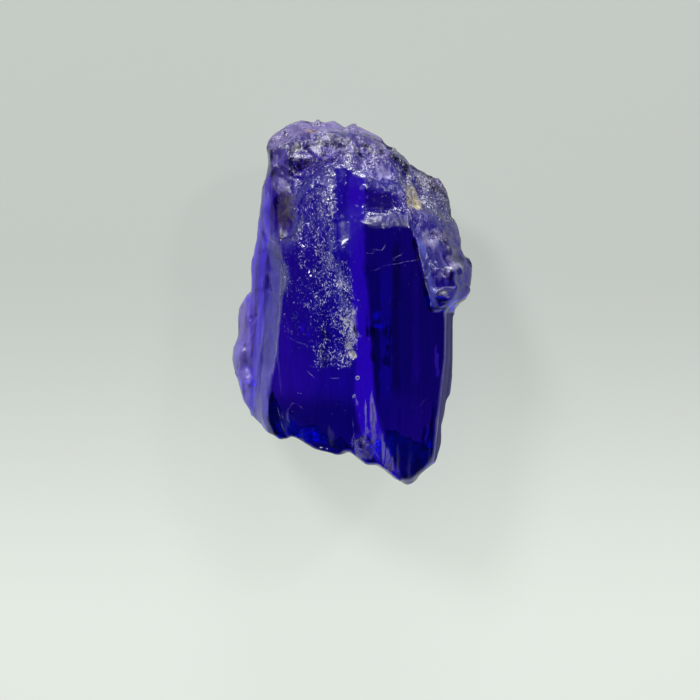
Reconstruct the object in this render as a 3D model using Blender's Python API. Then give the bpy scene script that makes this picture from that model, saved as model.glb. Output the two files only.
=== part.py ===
"""A rough tanzanite crystal, 12.8 mm long, lying on its flat back with its best face up.

The crystal is one piece of gem zoisite. Its long axis, the c-axis, runs along Y, and striated
prism faces run the same way. The foot end (-Y) is broken to a chisel tip, the head end (+Y) is a
rough, rounded break, and a lump of that break overhangs the right side. The left side is
a thin wavy edge. X runs across the crystal and Z up, out of the face on which it rests.

The surface is a stack of closed rings: the flat back, the side walls up to the widest line,
and the front, whose height is lofted between the ridges that run along the crystal.
Sizes in the tables are millimetres, measured from the middle of the crystal's outline.
"""

import math

import bmesh
import bpy
import numpy as np
from mathutils import Vector, noise

MM = 0.001
NODE = "tanzanite_crystal"

# Resolution of the modelled surface, and of the solid that is left after simplifying it.
COLUMN_STEP = 0.10
FRONT_RINGS = 62
FRONT_RING_SPREAD = 0.8
WALL_RINGS = 20
SOLID_TRIANGLES = 8000

# The widest line of the crystal as (x, y, z), clockwise from the head's left corner.
WIDEST_LINE = [
    (-2.76, 5.66, 2.6), (-2.31, 6.20, 2.4), (-1.90, 6.29, 2.3), (-1.43, 6.20, 2.3),
    (-1.24, 6.37, 2.2), (-0.55, 6.41, 2.1), (-0.42, 6.20, 2.2), (-0.23, 6.10, 2.3),
    (0.09, 6.19, 2.4), (0.64, 5.97, 2.4), (0.95, 5.79, 2.4), (1.27, 5.47, 2.5),
    (1.60, 5.24, 2.6), (2.15, 4.80, 2.6), (2.58, 4.49, 2.6), (2.98, 4.22, 2.7),
    (3.24, 3.90, 2.8), (3.43, 3.42, 2.9), (3.50, 2.98, 3.0), (3.66, 2.31, 3.1),
    (3.84, 1.93, 3.1), (4.12, 1.44, 3.2), (4.20, 1.10, 3.3), (4.19, 0.78, 3.4),
    (4.09, 0.38, 3.6), (3.90, 0.05, 3.8), (3.58, -0.22, 3.9), (3.54, -0.42, 3.3),
    (3.53, -1.36, 3.3), (3.49, -2.30, 3.2), (3.45, -3.26, 3.2), (3.32, -3.38, 3.2),
    (3.21, -4.08, 3.3), (3.13, -4.30, 3.3), (3.14, -4.95, 3.3), (3.00, -5.52, 3.4),
    (2.50, -5.96, 3.6), (2.13, -6.33, 3.7), (1.88, -6.42, 3.8), (1.57, -6.23, 4.0),
    (1.27, -6.05, 4.2), (0.92, -5.66, 4.5), (0.58, -5.72, 4.6), (0.11, -5.49, 4.6),
    (-0.08, -5.27, 4.6), (-0.56, -5.23, 4.5), (-1.62, -4.92, 4.1), (-2.15, -4.75, 3.8),
    (-2.40, -4.83, 3.6), (-2.90, -4.67, 3.0), (-3.12, -4.40, 2.5), (-3.58, -3.86, 2.0),
    (-3.89, -3.49, 1.8), (-4.01, -3.00, 1.7), (-4.05, -2.67, 1.7), (-4.15, -2.50, 1.6),
    (-4.21, -2.02, 1.6), (-4.13, -1.54, 1.6), (-4.00, -1.16, 1.7), (-4.01, -0.60, 1.7),
    (-3.96, -0.13, 1.8), (-3.60, 0.40, 2.1), (-3.54, 0.84, 2.3), (-3.52, 1.33, 2.4),
    (-3.39, 1.70, 2.5), (-3.28, 2.94, 2.7), (-3.10, 4.13, 2.8), (-2.92, 5.26, 2.8),
]

# The widest line is drawn a little wider and longer, because the smoothing rounds the rim off.
OUTLINE_SCALE = (1.012, 1.004)

# The flat on which the crystal lies, as (x, y), clockwise from the head.
RESTING_FLAT = [
    (-1.2, 4.75), (0.7, 4.35), (2.35, 2.7), (2.75, 0.4), (2.55, -2.9), (1.75, -4.75),
    (0.4, -4.35), (-1.5, -3.8), (-2.15, -2.3), (-2.10, 0.9), (-2.05, 3.7),
]

# The line from which the rings spread, as the foot's and the head's (x, y).
SPINE_FOOT = (0.3, -3.3)
SPINE_HEAD = (-0.3, 3.5)
SPINE_SHARE = 0.62

# Where a side wall bends, as a share of its height and of its reach past the resting flat.
WALL_KNEE_HEIGHT = 0.44
WALL_KNEE_REACH = 0.68
# The resting flat ends at most this far out, as a share of the way from spine to rim.
FLAT_SHARE_LIMIT = 0.93
FLAT_SHARE_DEFAULT = 0.6

# Ridges of the front, left to right. Each is a list of (y, x, z) from the foot to the head.
LEFT_SHOULDER = [
    (-6.5, -2.95, 3.2), (-4.7, -2.95, 3.4), (-3.3, -2.95, 3.7), (-1.4, -2.62, 4.1),
    (0.0, -2.42, 4.2), (1.9, -2.45, 4.1), (3.5, -2.72, 3.7), (5.3, -2.80, 3.35),
    (5.8, -2.80, 3.2), (6.5, -2.80, 3.0),
]
BAND_LEFT = [
    (-6.5, 0.35, 4.7), (-5.5, 0.30, 4.9), (-4.2, 0.05, 5.15), (-2.1, -0.05, 5.35),
    (0.0, -0.15, 5.42), (2.1, -0.50, 5.25), (4.2, -0.75, 4.75), (5.2, -0.80, 4.25),
    (5.75, -0.80, 3.85), (6.4, -0.80, 3.4),
]
BAND_RIGHT = [
    (-6.5, 1.25, 4.6), (-5.5, 1.05, 5.0), (-4.2, 0.70, 5.3), (-2.1, 0.48, 5.52),
    (0.0, 0.40, 5.60), (2.1, -0.02, 5.45), (4.2, -0.10, 4.85), (5.2, 0.0, 4.25),
    (5.75, 0.0, 3.8), (6.4, 0.0, 3.3),
]
RIGHT_SHOULDER = [(-6.5, 2.75, 3.8), (-4.0, 3.02, 4.15), (-2.0, 3.22, 4.35), (0.0, 3.24, 4.4)]
HOOD_EDGE = [
    (-0.35, 2.83, 4.85), (-0.16, 2.73, 4.9), (0.5, 2.58, 4.95), (1.1, 2.46, 5.0),
    (1.6, 2.33, 5.0), (2.1, 2.22, 5.0), (2.6, 2.05, 4.97), (3.1, 1.92, 4.85),
    (3.85, 1.77, 4.5), (4.3, 1.64, 4.2), (5.1, 1.33, 3.6), (6.4, 0.9, 2.4),
]
HOOD_MIDDLE = [
    (-0.35, 3.38, 4.7), (0.5, 3.62, 4.6), (1.2, 3.56, 4.45), (2.0, 3.12, 4.35),
    (3.0, 2.75, 4.1), (4.1, 2.30, 3.5), (5.1, 1.6, 3.1), (6.4, 1.2, 2.3),
]

# The crest of the head as (x, y). Beyond it the front drops to a thin flange.
CREST = [
    (-3.2, 5.10), (-2.87, 5.28), (-2.17, 5.59), (-1.64, 5.84), (-0.24, 5.87), (0.80, 5.63),
    (1.33, 5.10), (1.6, 4.60),
]
CREST_DROP = 0.62
CREST_WIDTH = 0.20

# The left shoulder steps down to a thin shelf, which ends where the head begins.
SHELF_STEP_WIDTH = 0.48
SHELF_STEP_DROP = 1.15
SHELF_FALL = 0.85
SHELF_END = (1.4, 3.4)

# How steeply the front falls outside its first and last ridge, in height per width.
LEFT_FALL = 1.5
RIGHT_FALL = 3.6
HOOD_FALL = 1.9
FALL_REACH = 2.0
# How steeply the front may rise inward from the widest line.
RIM_RISE = 3.4

# The hood of rough head material stands over the smooth right face by a small step.
HOOD_FOOT = -0.34
HOOD_STEP_WIDTH = 0.07
HOOD_FADE = (1.5, 2.9)

# Hollows and lumps of the front: (x, y, half width, half length, height). Each fades out between
# two shares of its half width and half length.
LUMP_FADE = (0.25, 1.0)
HOLLOWS_AND_LUMPS = [
    (-2.35, 2.75, 0.75, 1.35, -0.38),  # the stained hollow beside the left shoulder
    (-1.25, 1.70, 0.95, 1.90, -0.22),  # the pitted hollow of the left face
    (-1.60, 4.30, 0.80, 0.70, -0.16),
    (0.55, 3.30, 1.00, 0.75, -0.20),  # the scooped break above the right face
    (0.95, 4.70, 0.55, 0.45, 0.16),
    (3.62, 1.00, 0.42, 0.30, 0.24),  # knuckles of the overhanging lump
    (3.55, 1.50, 0.45, 0.18, -0.24),
    (3.30, 0.50, 0.42, 0.16, -0.16),
    (3.25, 0.10, 0.40, 0.26, 0.16),
    (3.10, 2.20, 0.40, 0.30, 0.14),
    (0.45, -5.15, 0.34, 0.42, 0.14),  # the chip beside the tip
    (0.98, -5.05, 0.20, 0.75, -0.10),
    (-3.90, -1.90, 0.30, 0.42, 0.22),  # knots on the thin left edge
    (-3.72, -2.90, 0.22, 0.30, 0.16),
    (-3.75, -0.55, 0.20, 0.50, 0.12),
    (-3.55, -2.35, 0.25, 0.30, -0.12),
]

# Ledges across the front, where the break steps down to a smooth face: (x from, x to, y, step).
LEDGES = [
    (0.35, 1.95, 2.28, 0.07),
    (0.55, 1.80, 3.10, 0.08),
    (0.30, 1.70, 3.75, 0.09),
    (-2.30, -0.80, 4.85, 0.10),
    (-1.9, -0.3, 5.40, 0.10),
]
LEDGE_WIDTH = 0.06
LEDGE_FADE = 0.9
LEDGE_END_FADE = 0.3
LEDGE_WAVER = 0.16
LEDGE_WAVES = 1.9
LEDGE_LAYER = 3.1

# Growth steps and fine grooves that run along the prism faces: how many per millimetre across
# the face, how high they stand, and how slowly they change along it.
GROWTH_STEPS = 1.3
GROWTH_STEP_HEIGHT = 0.075
GROWTH_LEVELS = 3.0
GROWTH_LAYER = 4.0
RISER = (0.42, 0.58)
GROOVES = 4.6
GROOVE_HEIGHT = 0.012
GROOVE_CHANGE = 1.5
GROOVE_LAYER = 9.0
GROOVE_RADIUS = 3.4
GROOVE_AXIS_HEIGHT = 2.2
CHANGE_ALONG = 0.10

# The rough break: rounded lumps, then tilted chips that are longer along the crystal, then grain.
LUMP_SIZE = 1.10
LUMP_HEIGHT = 0.17
CHIP_WIDTH = 0.95
CHIP_LENGTH = 1.45
CHIP_TILT = 0.24
CHIP_LIMIT = 0.07
CHIP_LAYER = 7.3
GRAIN_SIZE = 0.34
GRAIN_HEIGHT = 0.02

# Where the break lies: from these heights up on the left and on the right side, fading in over
# BREAK_FADE, beyond the hood's edge, on the thin left edge and on the faces that look along Y.
BREAK_FROM_LEFT = -0.9
BREAK_FROM_RIGHT = 2.2
BREAK_SIDES = (-0.7, 0.3)
BREAK_FADE = 1.4
HOOD_SEAM = (-0.05, 0.1)
HOOD_START = (-0.3, 0.1)
THIN_EDGE = (-3.9, -3.3)
THIN_EDGE_BREAK = 0.55
END_FACING = (0.45, 0.8)
CALM_ABOVE_FLAT = 0.25

# How often the modelled surface is smoothed, so that its folds close before the relief is added.
SMOOTHINGS = 3

# The back is cut flat at this height, after which near points and thin slivers are removed.
BACK_CUT = 0.03
MERGE = 0.002
SLIVER = 0.004


def clear_scene():
    for old in list(bpy.data.objects):
        bpy.data.objects.remove(old, do_unlink=True)


def smooth_step(low, high, value):
    """0 below low, 1 above high, and a smooth rise between them."""
    share = min(1.0, max(0.0, (value - low) / (high - low)))
    return share * share * (3 - 2 * share)


def ridge_at(ridge, y):
    """The (x, z) of a ridge at one place along the crystal."""
    places = [point[0] for point in ridge]
    return (
        float(np.interp(y, places, [point[1] for point in ridge])),
        float(np.interp(y, places, [point[2] for point in ridge])),
    )


def lofted_height(x, y):
    """Height of the front at (x, y), straight from ridge to ridge."""
    left_x, left_z = ridge_at(LEFT_SHOULDER, y)
    on_shelf = 1 - smooth_step(*SHELF_END, y)
    drop = SHELF_STEP_DROP * on_shelf + SHELF_STEP_WIDTH * LEFT_FALL * (1 - on_shelf)
    fall = SHELF_FALL * on_shelf + LEFT_FALL * (1 - on_shelf)
    step_x, step_z = left_x - SHELF_STEP_WIDTH, left_z - drop
    line = [(step_x - FALL_REACH, step_z - FALL_REACH * fall), (step_x, step_z), (left_x, left_z)]
    line.append(ridge_at(BAND_LEFT, y))
    line.append(ridge_at(BAND_RIGHT, y))
    shoulder_x, shoulder_z = ridge_at(RIGHT_SHOULDER, y)
    if y < HOOD_FOOT:
        line.append((shoulder_x, shoulder_z))
        line.append((shoulder_x + 1.0, shoulder_z - RIGHT_FALL))
    else:
        edge_x, edge_z = ridge_at(HOOD_EDGE, y)
        band_x, band_z = line[-1]
        share = (edge_x - band_x) / (shoulder_x - band_x)
        face_z = band_z + (shoulder_z - band_z) * share
        under_z = edge_z + (min(face_z, edge_z) - edge_z) * (1 - smooth_step(*HOOD_FADE, y))
        middle_x, middle_z = ridge_at(HOOD_MIDDLE, y)
        line.append((edge_x - HOOD_STEP_WIDTH, under_z))
        line.append((edge_x, edge_z))
        line.append((middle_x, middle_z))
        line.append((middle_x + 1.0, middle_z - HOOD_FALL))
    return float(np.interp(x, [point[0] for point in line], [point[1] for point in line]))


def shaped_height(x, y):
    """The front's height with its hollows, lumps and ledges, and the drop beyond the crest."""
    height = lofted_height(x, y)
    for centre_x, centre_y, half_width, half_length, rise in HOLLOWS_AND_LUMPS:
        away = math.hypot((x - centre_x) / half_width, (y - centre_y) / half_length)
        height += rise * (1 - smooth_step(*LUMP_FADE, away))
    for low_x, high_x, ledge_y, step in LEDGES:
        waver = LEDGE_WAVER * noise.noise(Vector((x * LEDGE_WAVES, ledge_y, LEDGE_LAYER)))
        over = smooth_step(0.0, LEDGE_WIDTH, y - ledge_y - waver)
        over *= 1 - smooth_step(0.0, LEDGE_FADE, y - ledge_y)
        across = smooth_step(low_x - LEDGE_END_FADE, low_x, x)
        across *= 1 - smooth_step(high_x, high_x + LEDGE_END_FADE, x)
        height += step * over * across
    crest_y = float(np.interp(x, [point[0] for point in CREST], [point[1] for point in CREST]))
    on_crest = smooth_step(CREST[0][0], CREST[2][0], x) * (1 - smooth_step(CREST[-3][0], CREST[-1][0], x))
    return height - CREST_DROP * on_crest * smooth_step(0.0, CREST_WIDTH, y - crest_y)


def break_share(place, normal):
    """How much of the rough break a point of the surface has, from 0 on a smooth face to 1."""
    x, y, z = place
    on_right = smooth_step(*BREAK_SIDES, x)
    head_from = BREAK_FROM_LEFT + (BREAK_FROM_RIGHT - BREAK_FROM_LEFT) * on_right
    share = smooth_step(head_from, head_from + BREAK_FADE, y)
    beyond_edge = x - ridge_at(HOOD_EDGE, y)[0]
    on_hood = smooth_step(*HOOD_START, y - HOOD_FOOT) * smooth_step(*HOOD_SEAM, beyond_edge)
    on_thin_edge = THIN_EDGE_BREAK * (1 - smooth_step(*THIN_EDGE, x))
    end_on = smooth_step(*END_FACING, abs(normal.y))
    return max(share, on_hood, on_thin_edge, end_on)


def break_relief(place):
    """Outward offset of the break: lumps, tilted chips with small steps between them, and grain."""
    lump = LUMP_HEIGHT * noise.noise(place / LUMP_SIZE)
    spot = Vector((place.x / CHIP_WIDTH, place.y / CHIP_LENGTH, place.z / CHIP_WIDTH))
    near = noise.voronoi(spot)[1][0]
    tilt = noise.cell_vector(near * CHIP_LAYER) - Vector((0.5, 0.5, 0.5))
    chip = CHIP_TILT * (spot - near).dot(tilt)
    chip = max(-CHIP_LIMIT, min(CHIP_LIMIT, chip))
    grain = GRAIN_HEIGHT * noise.fractal(place / GRAIN_SIZE, 1.0, 2.0, 2)
    return lump + chip + grain


def face_relief(place):
    """Outward offset of a prism face: growth steps and grooves parallel to the crystal's length."""
    across = GROOVE_RADIUS * math.atan2(place.x, place.z - GROOVE_AXIS_HEIGHT)
    along = place.y * CHANGE_ALONG
    level = GROWTH_LEVELS * noise.noise(Vector((across * GROWTH_STEPS, along, GROWTH_LAYER)))
    tread = math.floor(level) + smooth_step(*RISER, level - math.floor(level))
    groove = noise.noise(Vector((across * GROOVES, along * GROOVE_CHANGE, GROOVE_LAYER)))
    return GROWTH_STEP_HEIGHT * tread / GROWTH_LEVELS + GROOVE_HEIGHT * groove


def outline_samples():
    """The widest line at even steps, as points (x, y, z)."""
    corners = WIDEST_LINE + WIDEST_LINE[:1]
    flat = np.array(corners)
    flat[:, :2] *= OUTLINE_SCALE
    along = np.concatenate([[0], np.cumsum(np.linalg.norm(np.diff(flat[:, :2], axis=0), axis=1))])
    count = int(along[-1] / COLUMN_STEP)
    places = np.linspace(0, along[-1], count, endpoint=False)
    return [Vector([float(np.interp(s, along, flat[:, axis])) for axis in range(3)]) for s in places]


def spine_point(outline_y):
    """The point of the spine that faces one height of the outline."""
    share = (SPINE_SHARE * outline_y - SPINE_FOOT[1]) / (SPINE_HEAD[1] - SPINE_FOOT[1])
    share = min(1.0, max(0.0, share))
    return Vector(SPINE_FOOT).lerp(Vector(SPINE_HEAD), share)


def flat_share(centre, rim):
    """How far along centre to rim the edge of the resting flat lies, from 0 to 1."""
    way = rim - centre
    for index, corner in enumerate(RESTING_FLAT):
        start = Vector(corner)
        side = Vector(RESTING_FLAT[(index + 1) % len(RESTING_FLAT)]) - start
        cross = way.x * side.y - way.y * side.x
        if abs(cross) < 1e-9:
            continue
        gap = start - centre
        ahead = (gap.x * side.y - gap.y * side.x) / cross
        beside = (gap.x * way.y - gap.y * way.x) / cross
        if ahead > 0 and 0 <= beside <= 1:
            return ahead
    return FLAT_SHARE_DEFAULT


def column(rim):
    """One column of the surface, from the resting flat out to the rim and in over the front."""
    centre = spine_point(rim.y)
    edge = Vector((rim.x, rim.y))
    inner = min(FLAT_SHARE_LIMIT, flat_share(centre, edge))
    reach = (edge - centre).length
    points = []
    for ring in range(WALL_RINGS):
        up = ring / WALL_RINGS
        out = float(np.interp(up, [0, WALL_KNEE_HEIGHT, 1], [0, WALL_KNEE_REACH, 1]))
        spot = centre.lerp(edge, inner + (1 - inner) * out)
        points.append(Vector((spot.x, spot.y, rim.z * up)))
    for ring in range(FRONT_RINGS):
        share = (1 - ring / FRONT_RINGS) ** FRONT_RING_SPREAD
        spot = centre.lerp(edge, share)
        limit = rim.z + RIM_RISE * (1 - share) * reach
        points.append(Vector((spot.x, spot.y, min(limit, shaped_height(spot.x, spot.y)))))
    return points


def ring_mesh():
    """The closed surface through all columns, as a bmesh in millimetres."""
    shape = bmesh.new()
    rims = outline_samples()
    grid = [[shape.verts.new(point) for point in column(rim)] for rim in rims]
    ends = [row[-1] for row in grid]
    for index, row in enumerate(grid):
        beside = grid[(index + 1) % len(grid)]
        for ring in range(len(row) - 1):
            shape.faces.new((row[ring], row[ring + 1], beside[ring + 1], beside[ring]))
    shape.faces.new([row[0] for row in grid])
    shape.faces.new(list(reversed(ends)))
    bmesh.ops.triangulate(shape, faces=[face for face in shape.faces if len(face.verts) > 4])
    bmesh.ops.remove_doubles(shape, verts=shape.verts, dist=MERGE)
    bmesh.ops.recalc_face_normals(shape, faces=shape.faces)
    return shape


def roughen(shape):
    """Moves each point outward by the relief of the break or of the smooth faces."""
    raised = [vert for vert in shape.verts if vert.co.z > CALM_ABOVE_FLAT]
    for _ in range(SMOOTHINGS):
        bmesh.ops.smooth_vert(
            shape, verts=raised, factor=0.5, use_axis_x=True, use_axis_y=True, use_axis_z=True
        )
    shape.normal_update()
    moves = []
    for vert in shape.verts:
        place = vert.co
        share = break_share(place, vert.normal)
        relief = share * break_relief(place) + (1 - share) * face_relief(place)
        moves.append(vert.normal * relief * smooth_step(0.0, CALM_ABOVE_FLAT, place.z))
    for vert, move in zip(shape.verts, moves):
        vert.co += move


def simplified(shape):
    """The same surface with few triangles, large on the flat faces and small on the breaks."""
    fine_mesh = bpy.data.meshes.new("fine_surface")
    shape.to_mesh(fine_mesh)
    fine = bpy.data.objects.new("fine_surface", fine_mesh)
    bpy.context.scene.collection.objects.link(fine)
    triangles = sum(len(face.verts) - 2 for face in shape.faces)
    decimate = fine.modifiers.new("few_triangles", "DECIMATE")
    decimate.ratio = SOLID_TRIANGLES / triangles
    evaluated = fine.evaluated_get(bpy.context.evaluated_depsgraph_get())
    mesh = bpy.data.meshes.new_from_object(evaluated)
    bpy.data.objects.remove(fine, do_unlink=True)
    shape.free()
    return mesh


def flatten_back(mesh):
    """Cuts the back to one true plane, moves the crystal to its origin and scales it to metres."""
    shape = bmesh.new()
    shape.from_mesh(mesh)
    cut = bmesh.ops.bisect_plane(
        shape,
        geom=shape.verts[:] + shape.edges[:] + shape.faces[:],
        plane_co=(0, 0, BACK_CUT),
        plane_no=(0, 0, 1),
        clear_inner=True,
    )
    rim = [item for item in cut["geom_cut"] if isinstance(item, bmesh.types.BMEdge)]
    bmesh.ops.holes_fill(shape, edges=rim, sides=0)
    bmesh.ops.dissolve_degenerate(shape, edges=shape.edges, dist=SLIVER)
    bmesh.ops.triangulate(shape, faces=shape.faces)
    low = [min(vert.co[axis] for vert in shape.verts) for axis in range(3)]
    high = [max(vert.co[axis] for vert in shape.verts) for axis in range(3)]
    origin = Vector(((low[0] + high[0]) / 2, (low[1] + high[1]) / 2, low[2]))
    bmesh.ops.translate(shape, verts=shape.verts, vec=-origin)
    bmesh.ops.scale(shape, verts=shape.verts, vec=(MM, MM, MM))
    bmesh.ops.recalc_face_normals(shape, faces=shape.faces)
    shape.to_mesh(mesh)
    shape.free()


def tanzanite_material():
    material = bpy.data.materials.new("tanzanite")
    material.use_nodes = True
    shader = material.node_tree.nodes["Principled BSDF"]
    shader.inputs["Base Color"].default_value = (0.16, 0.10, 0.62, 1)
    shader.inputs["Roughness"].default_value = 0.12
    shader.inputs["Metallic"].default_value = 0.0
    shader.inputs["IOR"].default_value = 1.69
    shader.inputs["Transmission Weight"].default_value = 1.0
    return material


def main():
    clear_scene()
    shape = ring_mesh()
    roughen(shape)
    mesh = simplified(shape)
    flatten_back(mesh)
    mesh.name = NODE
    mesh.materials.append(tanzanite_material())
    crystal = bpy.data.objects.new(NODE, mesh)
    collection = bpy.data.collections.new("tanzanite")
    bpy.context.scene.collection.children.link(collection)
    collection.objects.link(crystal)


main()
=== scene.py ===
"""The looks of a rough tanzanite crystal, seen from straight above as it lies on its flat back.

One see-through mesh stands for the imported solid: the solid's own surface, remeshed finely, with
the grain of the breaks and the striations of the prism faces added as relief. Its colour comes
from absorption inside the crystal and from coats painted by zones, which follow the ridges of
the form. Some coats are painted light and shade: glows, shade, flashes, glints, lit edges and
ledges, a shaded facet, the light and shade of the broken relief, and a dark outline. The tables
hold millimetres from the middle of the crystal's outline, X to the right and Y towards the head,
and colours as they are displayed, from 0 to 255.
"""

import math

import bpy
import numpy as np
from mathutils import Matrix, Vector, noise
from mathutils.kdtree import KDTree


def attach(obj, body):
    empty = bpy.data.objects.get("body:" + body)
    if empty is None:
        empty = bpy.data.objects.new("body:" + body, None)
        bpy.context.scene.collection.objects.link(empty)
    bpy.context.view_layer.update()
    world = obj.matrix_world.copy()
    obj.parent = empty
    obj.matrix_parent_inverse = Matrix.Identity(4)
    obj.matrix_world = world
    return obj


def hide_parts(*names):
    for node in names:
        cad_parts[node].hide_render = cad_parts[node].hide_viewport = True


MM = 0.001
DISPLAY_GAMMA = 2.2
NODE = "tanzanite_crystal"

# Where the outline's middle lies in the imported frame.
MIDDLE = (-0.001, 0.014)

# The fine surface, and how far each round of smoothing moves a point towards its neighbours.
VOXEL = 0.062
FACET_SMOOTHINGS = 3
SMOOTHING_STEP = 0.5

# Places where the fine surface is calmed, as (from, to, how soft) across and along, or as the
# centre and half size of an oval. The left face and the column are calmed by CALM_SHARE, the
# ledge and the strip by CALM_LESS of that, and the last oval fully.
CALM_ROUNDS = 200
CALM_SHARE = 0.35
CALM_LESS = 0.8
CALM_LEFT_FACE = ((-2.3, -0.2, 0.15), (-4.2, 1.9, 0.4))
CALM_FACING_UP = (0.4, 0.7)
CALM_COLUMN = ((-0.5, 0.4, 0.2), (0.0, 4.2, 0.4))
CALM_LEDGE = ((0.4, 1.9, 0.3), (2.3, 3.7, 0.3))
CALM_STRIP = ((-2.6, 3.5), (0.5, 1.3))
CALM_FULLY = ((0.1, 2.3), (0.6, 1.1))

# The relief of the breaks: bumps and tilted facets as (size, seed). Of the faces: striations.
COARSE_BUMP = 0.020
FINE_BUMP = 0.012
LARGE_FACETS = (0.85, 5)
SMALL_FACETS = (0.36, 9)
SMALL_FACET_SHARE = 0.4
FACET_TILT = 0.16
STRIATION = 0.004
# The relief fades out between these heights above the flat back.
RELIEF_HEIGHTS = (0.05, 0.3)
# Notches in the crest's outline as (x, depth, half width), and where along Y they set in.
NOTCHES = [(-1.33, 0.12, 0.11), (-0.24, 0.07, 0.09)]
NOTCH_RISE = (5.3, 6.2)

# Noise over the surface: (bumps per millimetre along X, Y and Z, seed, octaves).
SURFACE_NOISE = {
    "coarse": ((2.6, 2.0, 2.6), 3.0, 3),
    "fine": ((6.0, 5.0, 6.0), 11.0, 2),
    "striations": ((7.0, 0.35, 7.0), 23.0, 2),
    "head border": ((0.9, 0.9, 0.9), 31.0, 2),
    "bend x": ((2.2, 2.2, 2.2), 41.0, 2),
    "bend y": ((2.2, 2.2, 2.2), 47.0, 2),
    "marks": ((3.0, 3.0, 3.0), 53.0, 2),
    "grain": ((1.6, 1.3, 1.6), 59.0, 2),
    "ragged": ((6.0, 6.0, 0.0), 67.0, 2),
    "seam width": ((1.5, 1.5, 0.0), 71.0, 2),
}

# The camera looks straight down, with the frame's middle a little below the crystal's.
FIELD_WIDTH = 700 / 28.6
FIELD_CENTRE = (-0.07, -1.713)
FIELD_HEIGHT = 3.0
CAMERA_DISTANCE = 300.0
CAMERA_REACH = (10.0, 2000.0)
SENSOR = 36.0

FLOOR_GAP = 0.05
FLOOR_SIZE = 900.0
FLOOR_COLOUR = (0.20, 0.205, 0.20, 1)
FLOOR_ROUGHNESS = 0.9
FLOOR_GLOW_COLOUR = (0.925, 1.0, 0.92, 1)
# The floor glows more towards the foot: at these places along Y, this strongly.
FLOOR_GLOW_PLACES = (2.0, -12.0)
FLOOR_GLOW = (0.455, 0.71)
# Far from the crystal, beyond the picture, it glows less: between these distances, to this share.
FLOOR_FAR = (16.0, 45.0)
FLOOR_FAR_SHARE = 0.55

# The lamps as (place, size, power in watts), and the sky as (height, linear colour) twice.
LAMPS = {
    "key": ((-120, 150, 170), (60, 60), 0.36),
    "right": ((150, 120, 150), (30, 30), 0.12),
    "top": ((20, 190, 60), (70, 24), 0.16),
}
SKY = [(0.05, (0.36, 0.38, 0.37, 1)), (0.30, (0.012, 0.012, 0.014, 1))]

# Absorption for red, green and blue light, per metre.
ABSORPTION = (585.0, 1100.0, 10.0)
# How far the volume's density stands above the strongest absorption.
DENSITY_MARGIN = 1.02
REFRACTION = 1.69

# Ridges and seams of the front as (y, x), from the foot to the head.
LEFT_SHOULDER = [
    (-4.7, -2.95), (-3.3, -2.95), (-2.6, -2.78), (-1.9, -2.66), (-1.1, -2.57), (0.0, -2.51),
    (1.9, -2.45), (3.5, -2.72), (5.3, -2.80),
]
STRIP_EDGE = [
    (-2.9, -3.43), (-2.3, -3.31), (-1.1, -3.12), (-0.2, -3.10), (0.6, -3.07), (1.4, -3.01), (2.3, -2.86),
]
BAND_LEFT = [
    (-5.9, 1.15), (-4.86, 0.45), (-4.16, 0.28), (-3.46, 0.15), (-2.06, 0.22), (-1.0, 0.08), (0.0, 0.06),
    (1.1, -0.05), (4.2, -0.10),
]
BAND_RIGHT = [
    (-5.9, 1.60), (-4.86, 1.12), (-4.16, 0.92), (-3.46, 0.75), (-2.06, 0.66), (-1.0, 0.60), (0.0, 0.52),
    (1.1, 0.42), (4.2, 0.36),
]
RIGHT_SHOULDER = [(-6.5, 2.75), (-4.0, 3.02), (-2.0, 3.24), (0.0, 3.28)]
HOOD_EDGE = [
    (-0.35, 2.83), (0.5, 2.58), (1.1, 2.46), (1.6, 2.33), (2.1, 2.22), (2.6, 2.05), (3.1, 1.92),
    (3.85, 1.77), (4.3, 1.64), (5.1, 1.33), (6.4, 0.9),
]
WHITE_SEAM = [(-2.3, -0.07), (-1.0, 0.0), (0.73, -0.24), (2.3, -0.62), (3.53, -0.94), (4.3, -1.0)]
BEVEL = [(-6.2, 1.5), (-4.4, 0.35)]
# The crest as (x, y), from left to right, and the span that its flange takes.
CREST = [
    (-3.2, 5.10), (-2.67, 5.31), (-2.31, 5.48), (-1.96, 5.64), (-1.70, 5.82), (-1.41, 5.87),
    (-0.39, 5.90), (0.2, 5.80), (0.80, 5.63), (1.33, 5.10),
]
CREST_SPAN = (-3.2, 1.3, 0.2)

# Where each zone's border rises from 0 to 1. The first two go by how far the surface faces up,
# "sliver height" by height, and the others by place, or by distance from the border's line.
BORDERS = {
    "front": (-0.05, 0.25), "wall": (-0.65, -0.30), "sliver height": (2.6, 3.2),
    "hood": (-0.03, 0.05), "hood foot": (-0.42, -0.30),
    "sliver": (-0.02, 0.04), "sliver end": (-0.45, -0.35),
    "right half": (-0.2, 0.5), "head on left": (0.3, 3.0), "head on right": (2.75, 2.95), "head": (-0.1, 0.1),
    "flange": (0.0, 0.10), "strip": (-0.04, 0.04), "strip end": (3.2, 4.6), "step": (-0.05, 0.02),
    "step end": (4.6, 5.2), "left face": (-0.03, 0.04), "left face end": (-0.15, 0.1),
    "band": (-0.12, 0.06), "band end": (-0.08, 0.12),
    "right face": (-0.05, 0.12), "right face end": (-0.03, 0.03),
    "outer strip": (-0.26, -0.20), "frill": (-3.62, -3.52), "hood rim end": (1.9, 2.6),
    "foot": (-4.0, -3.6), "bevel end": (-4.7, -4.3),
}
# How far the noise moves the head's border on the left and on the right.
HEAD_WAVER = (0.5, 0.1)
# Where the surface's outermost line lies, by how far it faces up. A dark outline is painted there as painted
# shade.
PAINTED_OUTLINE = (-0.12, 0.14, 0.08)
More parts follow.
